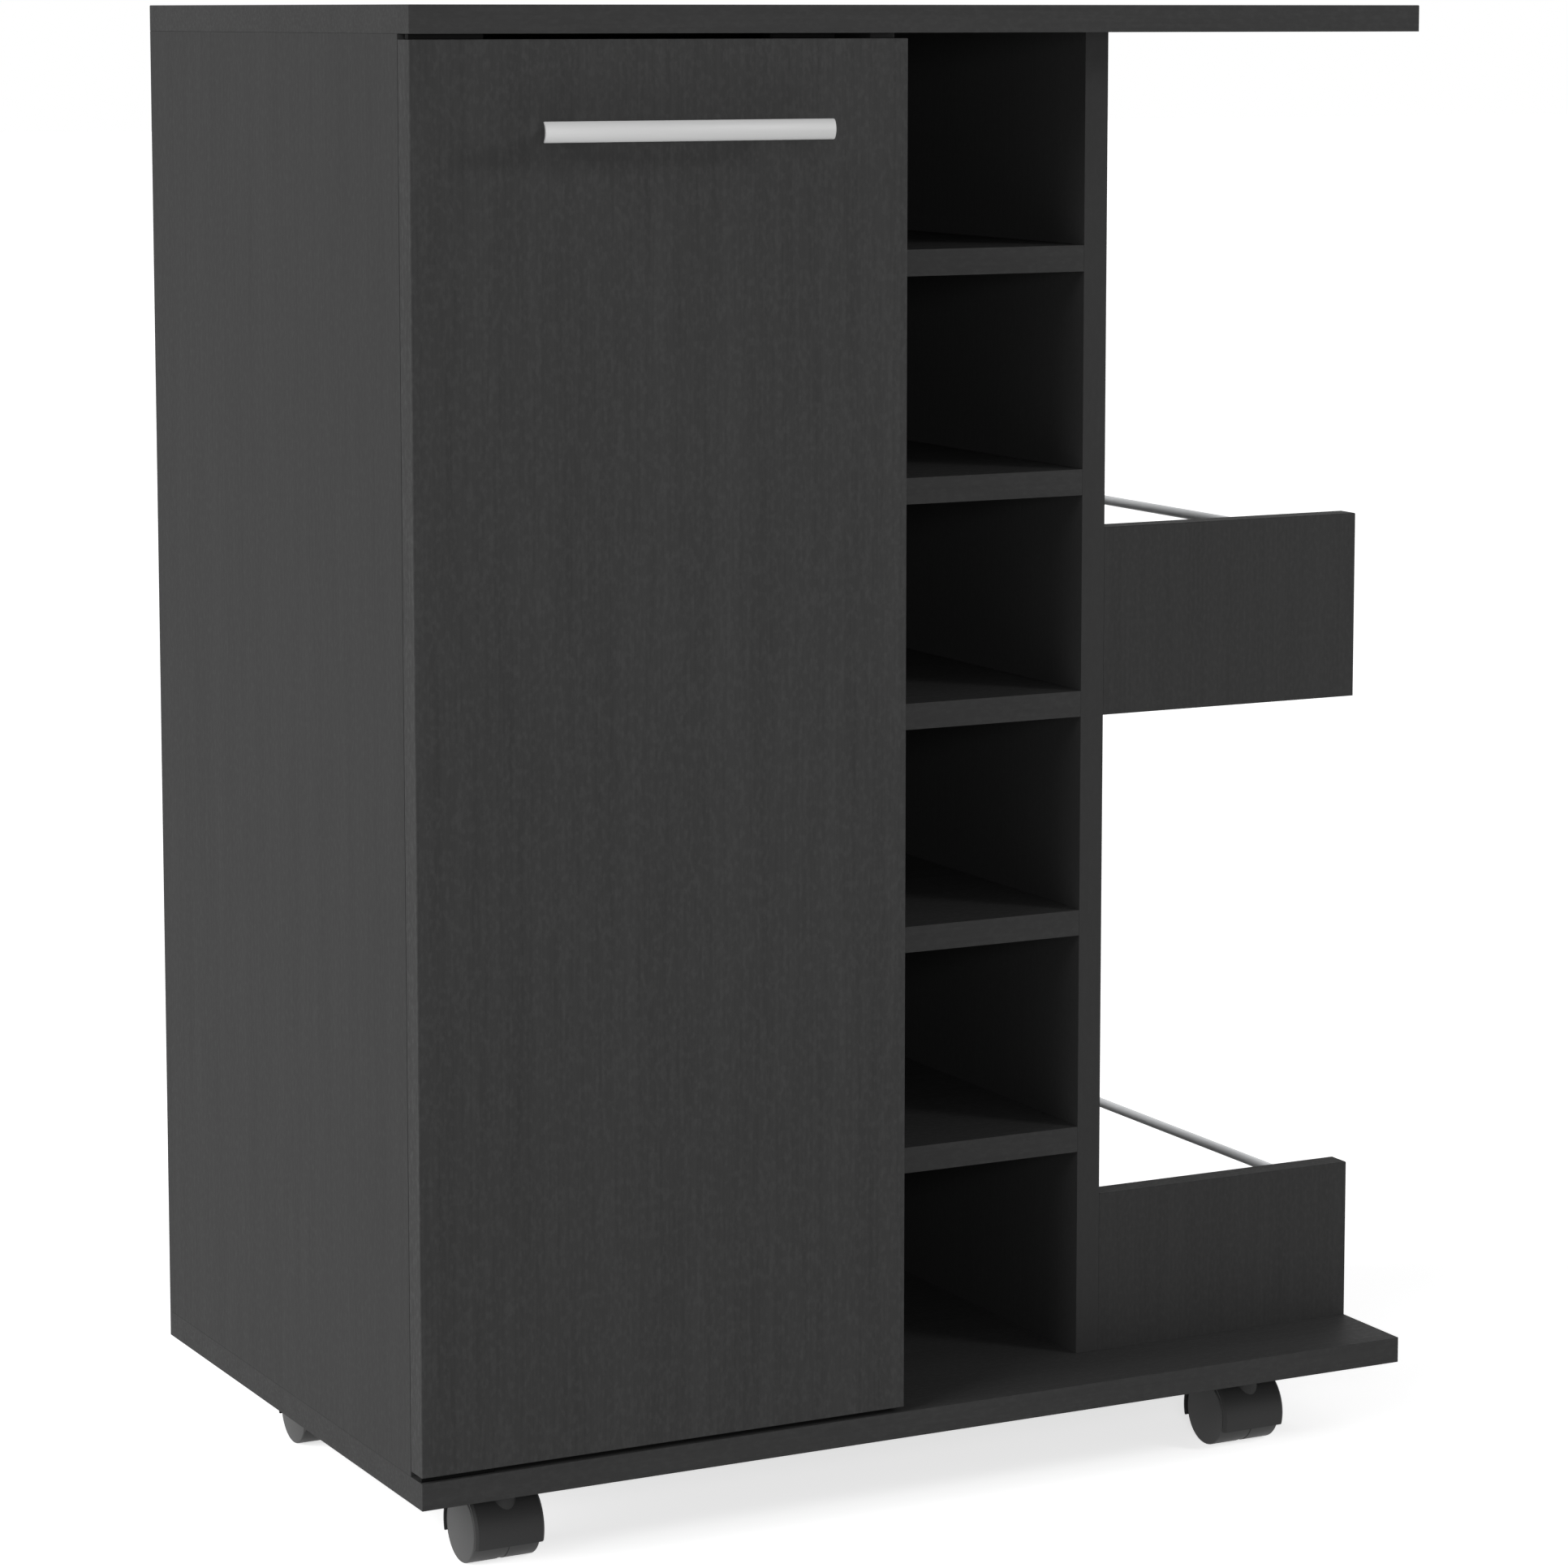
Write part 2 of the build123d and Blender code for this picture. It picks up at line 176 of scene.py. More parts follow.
def add_node(tree, kind, inputs=None, **settings):
    """Adds a node with its settings; an input takes a value, or a socket that it is linked to."""
    node = tree.nodes.new(kind)
    for name, value in settings.items():
        setattr(node, name, value)
    for socket, value in (inputs or {}).items():
        if isinstance(value, bpy.types.NodeSocket):
            tree.links.new(value, node.inputs[socket])
        else:
            node.inputs[socket].default_value = value
    return node


def new_material(name):
    """An empty material and the tree of its nodes."""
    material = bpy.data.materials.new(name)
    material.use_nodes = True
    material.node_tree.nodes.clear()
    return material, material.node_tree


def black_oak_foil(name, grain, gloss, contrast, shift):
    """Melamine foil printed and embossed as black oak: matt, with flecks and streaks along the grain."""
    finish = bpy.context.scene.cart_finish
    material, tree = new_material(name)
    place = add_node(tree, "ShaderNodeTexCoord")
    total = 0.0
    for layer, width, length, share in OAK_LAYERS:
        scale = [1 / width] * 3
        scale["XYZ".index(grain)] = 1 / length
        placed = add_node(
            tree, "ShaderNodeMapping", {"Vector": place.outputs["Object"], "Location": shift, "Scale": scale}
        )
        noise = add_node(
            tree,
            "ShaderNodeTexNoise",
            {"Vector": placed.outputs["Vector"], "Scale": 1.0, "Detail": 2.0, "Roughness": 0.5},
        )
        height = noise.outputs["Fac"]
        if layer == "flecks":
            tops = add_node(
                tree,
                "ShaderNodeMapRange",
                {"Value": height, "From Min": FLECK_TOPS[0], "From Max": FLECK_TOPS[1]},
            )
            height = tops.outputs["Result"]
        summed = add_node(tree, "ShaderNodeMath", {0: height, 1: share, 2: total}, operation="MULTIPLY_ADD")
        total = summed.outputs["Value"]
    heights = {"Value": total, "From Min": OAK_SUM[0], "From Max": OAK_SUM[1]}
    tone = add_node(
        tree,
        "ShaderNodeMapRange",
        {**heights, "To Min": 0.5 - contrast / 2, "To Max": 0.5 + contrast / 2},
    )
    colour = add_node(
        tree,
        "ShaderNodeMix",
        {"Factor": tone.outputs["Result"], "A": tuple(finish.foil_pore), "B": tuple(finish.foil)},
        data_type="RGBA",
    )
    sheen = add_node(
        tree,
        "ShaderNodeMapRange",
        {**heights, "To Min": OAK_ROUGHNESS[0], "To Max": OAK_ROUGHNESS[1]},
    )
    bump = add_node(
        tree,
        "ShaderNodeBump",
        {"Height": total, "Strength": OAK_EMBOSSING * contrast, "Distance": OAK_RELIEF},
    )
    shader = add_node(
        tree,
        "ShaderNodeBsdfPrincipled",
        {
            "Base Color": colour.outputs["Result"],
            "Roughness": sheen.outputs["Result"],
            "Normal": bump.outputs["Normal"],
            "IOR": 1.5,
            "Specular IOR Level": gloss,
        },
    )
    add_node(tree, "ShaderNodeOutputMaterial", {"Surface": shader.outputs["BSDF"]})
    return material


def speckled(
    name, dark, light, grit, roughness, metallic=0.0, relief=0.02 * MM, level=0.5, stretch=(1, 1, 1)
):
    """A plain finish whose colour, sheen and relief vary a little from grain to grain of a real size."""
    material, tree = new_material(name)
    place = add_node(tree, "ShaderNodeTexCoord")
    scale = [part / grit for part in stretch]
    placed = add_node(tree, "ShaderNodeMapping", {"Vector": place.outputs["Object"], "Scale": scale})
    grains = add_node(
        tree, "ShaderNodeTexNoise", {"Vector": placed.outputs["Vector"], "Scale": 1.0, "Detail": 2.0}
    )
    colour = add_node(
        tree,
        "ShaderNodeMix",
        {"Factor": grains.outputs["Fac"], "A": dark, "B": light},
        data_type="RGBA",
    )
    sheen = add_node(
        tree,
        "ShaderNodeMapRange",
        {
            "Value": grains.outputs["Fac"],
            "From Min": NOISE_SPREAD[0],
            "From Max": NOISE_SPREAD[1],
            "To Min": roughness[0],
            "To Max": roughness[1],
        },
    )
    bump = add_node(
        tree,
        "ShaderNodeBump",
        {"Height": grains.outputs["Fac"], "Strength": SPECKLE_EMBOSSING, "Distance": relief},
    )
    shader = add_node(
        tree,
        "ShaderNodeBsdfPrincipled",
        {
            "Base Color": colour.outputs["Result"],
            "Roughness": sheen.outputs["Result"],
            "Normal": bump.outputs["Normal"],
            "Metallic": metallic,
            "Specular IOR Level": level,
        },
    )
    add_node(tree, "ShaderNodeOutputMaterial", {"Surface": shader.outputs["BSDF"]})
    return material


def make_materials():
    """All finishes of the cart by name."""
    finish = bpy.context.scene.cart_finish
    # The grit of plated, painted and moulded skins is finer than this, and is drawn coarse enough to show
    return {
        # The same foil lies on all boards; its pores are finest on the uprights and most open on the door
        "side": black_oak_foil("black_oak_foil_side", "Z", 0.035, 0.32, (3.1, 7.7, 1.3)),
        "door": black_oak_foil("black_oak_foil_door", "Z", 0.06, 1.15, (0.0, 0.0, 0.0)),
        "fence": black_oak_foil("black_oak_foil_fence", "Z", 0.025, 0.75, (9.2, 4.4, 6.1)),
        "flat": black_oak_foil("black_oak_foil_flat", "X", 0.045, 0.7, (2.3, 5.9, 8.8)),
        # Hardboard has a matt black face with a coarse pressed grain
        "hardboard": speckled(
            "black_hardboard", linear("#262524"), linear("#302F2D"), 1.2 * MM, (0.7, 0.85), level=0.3
        ),
        # Anodised aluminium is brushed along the bar, so it gleams softly and evenly
        "aluminium": speckled(
            "satin_aluminium",
            linear("#AAAAAA"),
            tuple(finish.handle),
            0.4 * MM,
            (0.6, 0.68),
            metallic=1.0,
            relief=0.004 * MM,
            stretch=(0.02, 1, 1),
        ),
        # Satin chrome is blasted before it is plated, so it blurs what it reflects
        "chrome": speckled(
            "satin_chrome",
            linear("#E2E3E4"),
            linear("#ECEDEE"),
            0.5 * MM,
            (0.7, 0.78),
            metallic=1.0,
            relief=0.003 * MM,
        ),
        # Zinc plate is a cool grey with a fine mottled sheen
        "zinc": speckled(
            "zinc_plate",
            linear("#9EA1A6"),
            linear("#B9BCC0"),
            0.8 * MM,
            (0.28, 0.42),
            metallic=1.0,
            relief=0.005 * MM,
        ),
        # Painted steel is matt black and hardly shines; it is kept this near black and dull to match the
        # shade in the door's gaps, so it is partly painted shade
        "black_steel": speckled(
            "black_steel", linear("#070707"), linear("#0C0C0C"), 0.6 * MM, (0.6, 0.7), level=0.05
        ),
        # Polypropylene mouldings are matt black; the catch is kept this near black and dull to match the
        # shade in the door's gap, so it is partly painted shade
        "black_plastic": speckled(
            "moulded_polypropylene", linear("#0E0E0E"), linear("#131313"), 0.7 * MM, (0.5, 0.6), level=0.1
        ),
        # Moulded nylon has a spark-eroded skin that scatters a soft sheen; the hoods' grey is set darker
        # than the wheels' as painted shade from the base above them
        "nylon": speckled(
            "moulded_nylon", linear("#313131"), tuple(finish.caster), 0.7 * MM, (0.5, 0.58), level=0.15
        ),
        # The wheels' nylon is paler than the hoods', whose darker grey is painted shade, and a little
        # smoother
        "tread": speckled(
            "wheel_nylon", linear("#474747"), linear("#505050"), 0.7 * MM, (0.45, 0.52), level=0.15
        ),
        # Beech is pale and shows short fine flecks
        "beech": speckled("raw_beech", linear("#B98F5E"), linear("#D0A978"), 0.9 * MM, (0.6, 0.75)),
    }


# Modelling steps


def deselect_all():
    """Leaves edit mode and selects nothing."""
    if bpy.context.mode != "OBJECT":
        bpy.ops.object.mode_set(mode="OBJECT")
    bpy.ops.object.select_all(action="DESELECT")


def take(piece):
    """Makes one piece the only selected and the active one."""
    deselect_all()
    piece.select_set(True)
    bpy.context.view_layer.objects.active = piece


def settle(name):
    """Names the piece just added and moves its place into its mesh."""
    piece = bpy.context.active_object
    piece.name = name
    piece.data.name = name
    bpy.ops.object.transform_apply(location=True, rotation=True, scale=True)
    return piece


def add_block(name, low, high):
    """A box between two corners."""
    deselect_all()
    low, high = Vector(low), Vector(high)
    bpy.ops.mesh.primitive_cube_add(size=1, location=(low + high) / 2, scale=high - low)
    return settle(name)


def add_drum(name, start, direction, radius, length, sides=ROUND):
    """A round bar from a point along a direction."""
    deselect_all()
    direction = Vector(direction)
    bpy.ops.mesh.primitive_cylinder_add(
        vertices=sides,
        radius=radius,
        depth=length,
        location=Vector(start) + direction * length / 2,
        rotation=direction.to_track_quat("Z", "Y").to_euler(),
    )
    return settle(name)


def select_edges(piece, test):
    """Goes into edit mode and selects the edges for which the test holds."""
    take(piece)
    bpy.ops.object.mode_set(mode="EDIT")
    bpy.ops.mesh.select_mode(type="EDGE")
    bpy.ops.mesh.select_all(action="DESELECT")
    mesh = bmesh.from_edit_mesh(piece.data)
    for edge in mesh.edges:
        edge.select_set(test(*(vert.co for vert in edge.verts)))
    bmesh.update_edit_mesh(piece.data)


def round_edges(piece, test, radius, segments=4):
    """Rounds the edges for which the test holds."""
    select_edges(piece, test)
    bpy.ops.mesh.bevel(offset=radius, segments=segments, affect="EDGES")
    bpy.ops.object.mode_set(mode="OBJECT")


def on_plane(axis, value):
    """A test for edges that lie in a plane across an axis."""
    index = "XYZ".index(axis)
    return lambda a, b: abs(a[index] - value) < CLOSE and abs(b[index] - value) < CLOSE


def apply_modifier(piece, kind, **settings):
    """Adds a modifier with its settings and applies it."""
    take(piece)
    modifier = piece.modifiers.new(kind.lower(), kind)
    for name, value in settings.items():
        setattr(modifier, name, value)
    bpy.ops.object.modifier_apply(modifier=modifier.name)


def combine(piece, other, operation):
    """Joins another piece to this one, or cuts it out, and removes the other."""
    apply_modifier(piece, "BOOLEAN", object=other, operation=operation, solver="EXACT")
    bpy.data.objects.remove(other)


def smooth(piece, degrees=35):
    """Smooth shading over all but the sharp edges."""
    take(piece)
    bpy.ops.object.shade_smooth_by_angle(angle=math.radians(degrees))


def copied(piece, name, matrix=None):
    """A copy with a mesh of its own, moved within its mesh."""
    other = bpy.data.objects.new(name, piece.data.copy())
    other.data.name = name
    bpy.context.scene.collection.objects.link(other)
    if matrix is not None:
        other.data.transform(matrix)
    return other


def joined(pieces, name):
    """One piece of several separate shells."""
    deselect_all()
    for piece in pieces:
        piece.select_set(True)
    bpy.context.view_layer.objects.active = pieces[0]
    bpy.ops.object.join()
    pieces[0].name = name
    pieces[0].data.name = name
    return pieces[0]


def eased_copy(node, name, radius):
    """A copy of a solid with its sharp edges rounded a little."""
    piece = copied(frame["nodes"][node], name)
    piece.data.materials.clear()
    take(piece)
    bpy.ops.object.mode_set(mode="EDIT")
    bpy.ops.mesh.select_all(action="SELECT")
    bpy.ops.mesh.customdata_custom_splitnormals_clear()
    bpy.ops.mesh.remove_doubles(threshold=CLOSE)
    bpy.ops.mesh.dissolve_limited(angle_limit=FLAT_ANGLE)
    bpy.ops.object.mode_set(mode="OBJECT")
    apply_modifier(
        piece,
        "BEVEL",
        width=radius,
        segments=2,
        limit_method="ANGLE",
        angle_limit=SHARP_ANGLE,
        use_clamp_overlap=True,
    )
    smooth(piece)
    # Keeps the shading of the large faces flat right up to their rounded edges
    apply_modifier(piece, "WEIGHTED_NORMAL", mode="FACE_AREA", weight=100, keep_sharp=True)
    return piece


def dress(piece, material, body, slot, *nodes):
    """Gives a piece its finish, the body that it rides on and the solids that it stands for."""
    piece.data.materials.clear()
    piece.data.materials.append(material)
    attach(piece, body)
    if nodes:
        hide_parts(*nodes)


def paint(node, material):
    """Gives a solid that stays in view its finish."""
    solid = frame["nodes"][node]
    solid.data.materials.clear()
    solid.data.materials.append(material)


def middle(node):
    """The middle of a solid's box."""
    low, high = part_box(node)
    return (low + high) / 2


# Operators, one for each group of pieces

finishes = {}


class CART_OT_finishes(bpy.types.Operator):
    """Makes the cart's materials"""

    bl_idname = "cart.finishes"
    bl_label = "Finishes"

    def execute(self, context):
        finishes.update(make_materials())
        return {"FINISHED"}


class CART_OT_boards(bpy.types.Operator):
    """Faces the carcass boards with foil and eases their edges"""

    bl_idname = "cart.boards"
    bl_label = "Boards"

    def execute(self, context):
        radius = context.scene.cart_detail.edge_round
        groups = (
            (UPRIGHTS, finishes["side"]),
            (FENCES, finishes["fence"]),
            (FLAT_BOARDS + BOTTLE_SHELVES, finishes["flat"]),
        )
        for nodes, material in groups:
            for node in nodes:
                dress(eased_copy(node, f"{node}_board", radius), material, "carcass", "melamine", node)
        return {"FINISHED"}


class CART_OT_back(bpy.types.Operator):
    """Makes the hardboard back and the heads of its nails"""

    bl_idname = "cart.back"
    bl_label = "Back"

    head_radius = 3.0 * MM
    head_height = 0.5 * MM
    head_edge = 0.3 * MM
    end_inset = 55 * MM

    def execute(self, context):
        detail = context.scene.cart_detail
        board = eased_copy("back_panel", "back_panel_board", detail.edge_round)
        dress(board, finishes["hardboard"], "carcass", "hardboard", "back_panel")
        low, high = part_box("back_panel")
        start = (0, high.y, 0)
        first = add_drum("back_nails", start, BACKWARD, self.head_radius, self.head_height, SMALL_ROUND)
        round_edges(first, on_plane("Y", high.y + self.head_height), self.head_edge, 2)
        heads = []
        for upright in UPRIGHTS:
            bottom, top = (corner.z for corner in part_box(upright))
            span = top - bottom - 2 * self.end_inset
            for row in range(detail.nail_rows):
                z = bottom + self.end_inset + span * row / (detail.nail_rows - 1)
                place = Matrix.Translation((middle(upright).x, 0, z))
                heads.append(copied(first, "back_nail", place))
        bpy.data.objects.remove(first)
        nails = joined(heads, "back_nails")
        smooth(nails)
        dress(nails, finishes["zinc"], "carcass", "hardware_steel")
        return {"FINISHED"}


class CART_OT_door(bpy.types.Operator):
    """Faces the door with foil"""

    bl_idname = "cart.door"
    bl_label = "Door"

    def execute(self, context):
        panel = eased_copy("door_panel", "door_panel_board", context.scene.cart_detail.edge_round)
        dress(panel, finishes["door"], "door", "melamine", "door_panel")
        return {"FINISHED"}


class CART_OT_handle(bpy.types.Operator):
    """Makes the arched handle strip and its posts"""

    bl_idname = "cart.handle"
    bl_label = "Handle"

    bow = 2.2 * MM
    bow_steps = 10
    wall = 1.8 * MM
    # Depth of the plane whose front edge is swept into the strip
    blank_depth = 2.0 * MM
    edge = 0.25 * MM
    edge_angle = 50
    shade_angle = 30
    corner_slack = 0.02 * MM
    post_edge = 0.05 * MM

    def curved_sheet(self, low, high):
        """A sheet of the strip's length and height, swept from its lower edge and given its thickness."""
        half_height = (high.z - low.z) / 2
        radius = (half_height**2 + self.bow**2) / (2 * self.bow)
        sweep = 2 * math.asin(half_height / radius)
        centre = Vector(((low.x + high.x) / 2, low.y + radius, (low.z + high.z) / 2))
        deselect_all()
        behind = low.y + self.bow + self.blank_depth / 2
        bpy.ops.mesh.primitive_plane_add(size=1, location=(centre.x, behind, low.z))
        bpy.context.active_object.scale = (high.x - low.x, self.blank_depth, 1)
        strip = settle("handle_strip")
        select_edges(strip, lambda a, b: False)
        mesh = bmesh.from_edit_mesh(strip.data)
        for vert in mesh.verts:
            vert.select_set(vert.co.y > behind)
        bmesh.update_edit_mesh(strip.data)
        bpy.ops.mesh.delete(type="VERT")
        bpy.ops.mesh.select_all(action="SELECT")
        bpy.ops.mesh.spin(steps=self.bow_steps, angle=sweep, center=centre, axis=(1, 0, 0))
        bpy.ops.mesh.select_all(action="SELECT")
        bpy.ops.mesh.remove_doubles(threshold=CLOSE)
        bpy.ops.mesh.extrude_region_move(TRANSFORM_OT_translate={"value": (0, self.wall, 0)})
        bpy.ops.mesh.select_all(action="SELECT")
        bpy.ops.mesh.normals_make_consistent(inside=False)
        bpy.ops.object.mode_set(mode="OBJECT")
        return strip

    def execute(self, context):
        low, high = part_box("handle_bar")
        strip = self.curved_sheet(low, high)

        def at_corner(a, b):
            across = abs(a.y - b.y) > self.wall - self.corner_slack and abs(a.x - b.x) < CLOSE
            return across and min(abs(a.z - end) for end in (low.z, high.z)) < self.corner_slack

        round_edges(strip, at_corner, context.scene.cart_detail.handle_corner, 5)
        apply_modifier(
            strip,
            "BEVEL",
            width=self.edge,
            segments=2,
            limit_method="ANGLE",
            angle_limit=math.radians(self.edge_angle),
        )
        smooth(strip, self.shade_angle)
        dress(strip, finishes["aluminium"], "door", "handle_alloy", "handle_bar")
        posts = eased_copy("handle_posts", "handle_post_pair", self.post_edge)
        dress(posts, finishes["aluminium"], "door", "handle_alloy", "handle_posts")
        return {"FINISHED"}


class CART_OT_rails(bpy.types.Operator):
    """Makes the chrome rails of the side trays"""

    bl_idname = "cart.rails"
    bl_label = "Rails"

    end_edge = 0.5 * MM

    def execute(self, context):
        for node in ("upper_rail", "lower_rail"):
            low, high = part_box(node)
            radius = (high.x - low.x) / 2
            start = (middle(node).x, low.y, middle(node).z)
            rail = add_drum(f"{node}_rod", start, BACKWARD, radius, high.y - low.y, ROD_ROUND)
            for end in (low.y, high.y):
                round_edges(rail, on_plane("Y", end), self.end_edge, 3)
            smooth(rail)
            dress(rail, finishes["chrome"], "carcass", "chrome", node)
        return {"FINISHED"}


class CART_OT_casters(bpy.types.Operator):
    """Makes the hoods, webs, swivel bosses and wheels of the casters"""

    bl_idname = "cart.casters"
    bl_label = "Casters"

    hood_wall = 2.4 * MM
    web = 3.0 * MM
    foot_width = 3.7 * MM
    foot_ground_gap = 0.3 * MM
    boss_radius = 7.0 * MM
    boss_edge = 0.4 * MM
    skirt = 6.8 * MM
    inner_edge = 0.1 * MM
    # How far a cutter reaches past the faces that it cuts
    overshoot = 1.0 * MM

    def hood(self, place, edge):
        """A moulded hood: half a drum hollowed for the wheels, with its swivel boss."""
        node = f"caster_{place}_housing"
        low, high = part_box(node)
        axle = middle(f"caster_{place}_axle")
        radius = axle.y - low.y
        width = high.x - low.x
        start = Vector((low.x, axle.y, axle.z))
        hood = add_drum(f"caster_{place}_hood", start, RIGHT, radius, width)
        for end in (low.x, high.x):
            round_edges(hood, on_plane("X", end), edge, 1)
        swivel = next(j for j in frame["joints"] if j["name"] == f"{place}_swivel")["pos_m"]
        boss_start = (swivel[0], swivel[1], axle.z)
        boss = add_drum("boss", boss_start, UP, self.boss_radius, high.z - axle.z, ROD_ROUND)
        round_edges(boss, on_plane("Z", high.z), self.boss_edge, 3)
        combine(hood, boss, "UNION")
        well_length = (width - self.web) / 2
        past = self.overshoot
        for well_start in (start - RIGHT * past, start + RIGHT * (width - well_length)):
            well = add_drum("well", well_start, RIGHT, radius - self.hood_wall, well_length + past)
            combine(hood, well, "DIFFERENCE")
        below = add_block(
            "below",
            (low.x - past, low.y - past, axle.z - 2 * radius),
            (high.x + past, high.y + past, axle.z - self.skirt),
        )
        combine(hood, below, "DIFFERENCE")
        smooth(hood)
        return hood

    def foot(self, place):
        """The foot of the web, which fills the gap between the wheels."""
        axle = middle(f"caster_{place}_axle")
        start = axle - RIGHT * self.foot_width / 2
        radius = axle.z - self.foot_ground_gap
        foot = add_drum(f"caster_{place}_web_foot", start, RIGHT, radius, self.foot_width)
        for end in (start.x, start.x + self.foot_width):
            round_edges(foot, on_plane("X", end), self.inner_edge, 1)
        smooth(foot)
        return foot

    def wheel(self, node, edge):
        """A plain wheel with a rounded outer edge."""
        low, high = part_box(node)
        outer = low.x if "left_wheel" in node else high.x
        inner = high.x if "left_wheel" in node else low.x
        start = Vector((low.x, middle(node).y, middle(node).z))
        wheel = add_drum(f"{node}_disc", start, RIGHT, (high.z - low.z) / 2, high.x - low.x)
        round_edges(wheel, on_plane("X", outer), edge, 4)
        round_edges(wheel, on_plane("X", inner), self.inner_edge, 1)
        smooth(wheel)
        return wheel

    def execute(self, context):
        detail = context.scene.cart_detail
        for place in CASTERS:
            body = f"caster_{place}"
            hood = self.hood(place, detail.hood_chamfer)
            # The hood's darker nylon is painted shade from the base above it
            dress(hood, finishes["nylon"], body, "caster_plastic", f"{body}_housing")
            dress(self.foot(place), finishes["tread"], body, "caster_plastic")
            paint(f"{body}_axle", finishes["zinc"])
            for side in ("left", "right"):
                node = f"{body}_{side}_wheel"
                wheel = self.wheel(node, detail.wheel_round)
                dress(wheel, finishes["tread"], f"{node}_body", "wheel_plastic", node)
        paint("caster_stems", finishes["zinc"])
        return {"FINISHED"}


class CART_OT_fittings(bpy.types.Operator):
    """Makes the cam locks, shelf pins, screws, hinge leaves and catch"""

    bl_idname = "cart.fittings"
    bl_label = "Fittings"

    # A slot's half length and half width as shares of the head's radius
    slot_length_share = 0.62
    slot_width_share = 0.13
    slot_depth = 1.4 * MM
    cam_radius = 7.3 * MM
    cam_depth = 12 * MM
    cam_edge = 0.5 * MM
    pin_edge = 0.6 * MM
    # A pan head's rounding as a share of its height, and its shank's radius as a share of its own
    pan_share = 0.6
    shank_share = 0.45
    leaf_edge = 0.15 * MM
    leaf_screw_radius = 1.7 * MM
    leaf_screw_places = (14 * MM, 30 * MM)
    leaf_screw_sunk = 1.0 * MM
    leaf_slot_depth = 0.5 * MM
    proud = 0.08 * MM
    case_edge = 0.6 * MM
    plate_edge = 0.2 * MM
    pole_thickness = 1.2 * MM
    pole_length = 26 * MM
    pole_seat = 2.0 * MM
    pole_offset = 2.5 * MM
    pole_edge = 0.05 * MM

    def boxes(self, node):
        """The box of each separate solid of a node."""
        piece = copied(frame["nodes"][node], "split")
        take(piece)
        bpy.ops.object.mode_set(mode="EDIT")
        bpy.ops.mesh.select_all(action="SELECT")
        bpy.ops.mesh.remove_doubles(threshold=CLOSE)
        bpy.ops.mesh.separate(type="LOOSE")
        bpy.ops.object.mode_set(mode="OBJECT")
        found = []
        for shell in list(bpy.context.selected_objects):
            places = [vert.co for vert in shell.data.vertices]
            low = Vector([min(place[axis] for place in places) for axis in range(3)])
            high = Vector([max(place[axis] for place in places) for axis in range(3)])
            found.append((low, high))
            bpy.data.objects.remove(shell)
        return found

    def crossed(self, head, top, facing, radius, depth):
        """Cuts a cross slot into the face of a head."""
        reach = radius * self.slot_length_share
        width = radius * self.slot_width_share
        for across in range(3):
            if facing[across]:
                continue
            half = Vector([depth if part else width for part in facing])
            half[across] = reach
            slot = add_block("slot", Vector(top) - half, Vector(top) + half)
            combine(head, slot, "DIFFERENCE")
        smooth(head)

    def cams(self):
        """Round cams that are turned with a cross driver."""
        pattern = add_drum("cam", (0, 0, 0), LEFT, self.cam_radius, self.cam_depth, CAM_ROUND)
        round_edges(pattern, on_plane("X", 0), self.cam_edge, 2)
        self.crossed(pattern, (0, 0, 0), RIGHT, self.cam_radius, self.slot_depth)
        partition = middle("centre_partition").x
        cams = []
        for low, high in self.boxes("cam_locks"):
            centre = (low + high) / 2
            if low.x < partition < high.x:
                place = Matrix.Translation((low.x, centre.y, centre.z)) @ Matrix.Rotation(math.pi, 4, "Z")
            else:
                place = Matrix.Translation((high.x, centre.y, centre.z))
            cams.append(copied(pattern, "cam", place))
        bpy.data.objects.remove(pattern)
        dress(joined(cams, "cam_lock_set"), finishes["zinc"], "carcass", "hardware_steel", "cam_locks")

    def pins(self):
        """Round shelf pins with eased ends."""
        pins = []
        for low, high in self.boxes("shelf_pins"):
            centre = (low + high) / 2
            start = (low.x, centre.y, centre.z)
            bar = add_drum("pin", start, RIGHT, (high.z - low.z) / 2, high.x - low.x, PIN_ROUND)
            for end in (low.x, high.x):
                round_edges(bar, on_plane("X", end), self.pin_edge, 2)
            pins.append(bar)
        piece = joined(pins, "shelf_pin_set")
        smooth(piece)
        dress(piece, finishes["zinc"], "carcass", "hardware_steel", "shelf_pins")

    def handle_screws(self):
        """Pan heads with a cross slot, and their shanks."""
        door_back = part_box("door_panel")[1].y
        screws = []
        for low, high in self.boxes("handle_screws"):
            centre = (low + high) / 2
            radius = (high.x - low.x) / 2
            height = high.y - door_back
            start = (centre.x, door_back, centre.z)
            head = add_drum("screw", start, BACKWARD, radius, height, SMALL_ROUND)
            round_edges(head, on_plane("Y", high.y), height * self.pan_share, 4)
            self.crossed(head, (centre.x, high.y, centre.z), BACKWARD, radius, self.slot_depth)
            shank_radius = radius * self.shank_share
            shank = add_drum("shank", start, FORWARD, shank_radius, door_back - low.y, SHANK_ROUND)
            screws += [head, shank]
        piece = joined(screws, "handle_screw_pair")
        dress(piece, finishes["zinc"], "door", "hardware_steel", "handle_screws")

